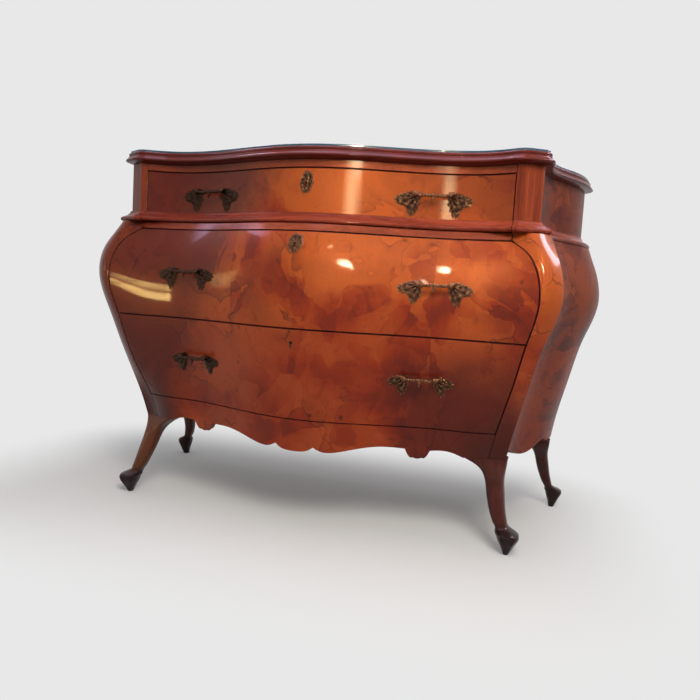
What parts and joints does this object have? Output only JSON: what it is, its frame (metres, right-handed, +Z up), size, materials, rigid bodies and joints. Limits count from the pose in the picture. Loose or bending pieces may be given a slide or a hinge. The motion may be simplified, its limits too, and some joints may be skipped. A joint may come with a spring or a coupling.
{
  "type": "bombe chest",
  "caption": "Serpentine bombe chest with three bow-fronted drawers, canted corner posts, cast pulls, cabriole legs and a glass-covered top.",
  "frame": {"origin": "on the floor, under the middle of the chest's bounding box", "axes": "+Z up, -Y towards the drawers' front, +X to the chest's right as seen from the front"},
  "size_m": [1.3258, 0.5922, 0.8968],
  "materials": {
    "burl_front": "french-polished burl veneer",
    "side_veneer": "french-polished veneer",
    "post_veneer": "french-polished straight-grained veneer",
    "moulded_top": "polished solid wood and veneer",
    "moulding": "polished solid wood",
    "leg_wood": "dark polished solid wood",
    "carcass_wood": "plain unpolished wood",
    "brass": "aged gilt brass",
    "iron": "dull dark iron",
    "glass": "clear polished"
  },
  "bodies": {
    "case": {"apron_carvings": "leg_wood", "back_panels": "carcass_wood", "bombe_side_left": "side_veneer", "bombe_side_right": "side_veneer", "divider_rail": "carcass_wood", "drawer_guides": "carcass_wood", "drawer_runners": "carcass_wood", "dust_boards": "carcass_wood", "frieze_post_left": "post_veneer", "frieze_post_right": "post_veneer", "frieze_side_left": "side_veneer", "frieze_side_right": "side_veneer", "front_apron": "burl_front", "front_leg_left": "leg_wood", "front_leg_right": "leg_wood", "front_post_left": "post_veneer", "front_post_right": "post_veneer", "glass_top": "glass", "rear_leg_left": "leg_wood", "rear_leg_right": "leg_wood", "rear_post_left": "carcass_wood", "rear_post_right": "carcass_wood", "rear_rails": "carcass_wood", "top_board": "moulded_top", "top_rail": "burl_front", "waist_moulding_left": "moulding", "waist_moulding_right": "moulding", "waist_rail": "burl_front"},
    "drawer_1": {"drawer_1_back": "carcass_wood", "drawer_1_bottom": "carcass_wood", "drawer_1_escutcheon": "brass", "drawer_1_front": "burl_front", "drawer_1_lock_case": "iron", "drawer_1_moulding": "moulding", "drawer_1_pull_bolts": "iron", "drawer_1_pull_left": "brass", "drawer_1_pull_right": "brass", "drawer_1_sides": "carcass_wood"},
    "lock_bolt_1": {"drawer_1_lock_bolt": "iron"},
    "drawer_2": {"drawer_2_back": "carcass_wood", "drawer_2_bottom": "carcass_wood", "drawer_2_escutcheon": "brass", "drawer_2_front": "burl_front", "drawer_2_lock_case": "iron", "drawer_2_pull_bolts": "iron", "drawer_2_pull_left": "brass", "drawer_2_pull_right": "brass", "drawer_2_sides": "carcass_wood"},
    "lock_bolt_2": {"drawer_2_lock_bolt": "iron"},
    "drawer_3": {"drawer_3_back": "carcass_wood", "drawer_3_bottom": "carcass_wood", "drawer_3_escutcheon": "brass", "drawer_3_front": "burl_front", "drawer_3_lock_case": "iron", "drawer_3_pull_bolts": "iron", "drawer_3_pull_left": "brass", "drawer_3_pull_right": "brass", "drawer_3_sides": "carcass_wood"},
    "lock_bolt_3": {"drawer_3_lock_bolt": "iron"}
  },
  "joints": [
    {"name": "drawer_1_slide", "type": "slide", "parent": "case", "child": "drawer_1", "axis": [0, -1, 0], "range_m": [0, 0.25]},
    {"name": "drawer_2_slide", "type": "slide", "parent": "case", "child": "drawer_2", "axis": [0, -1, 0], "range_m": [0, 0.25]},
    {"name": "drawer_3_slide", "type": "slide", "parent": "case", "child": "drawer_3", "axis": [0, -1, 0], "range_m": [0, 0.25]},
    {"name": "lock_bolt_1_slide", "type": "slide", "parent": "drawer_1", "child": "lock_bolt_1", "axis": [0, 0, 1], "range_m": [0, 0.008]},
    {"name": "lock_bolt_2_slide", "type": "slide", "parent": "drawer_2", "child": "lock_bolt_2", "axis": [0, 0, 1], "range_m": [0, 0.008]},
    {"name": "lock_bolt_3_slide", "type": "slide", "parent": "drawer_3", "child": "lock_bolt_3", "axis": [0, 0, 1], "range_m": [0, 0.008]}
  ]
}
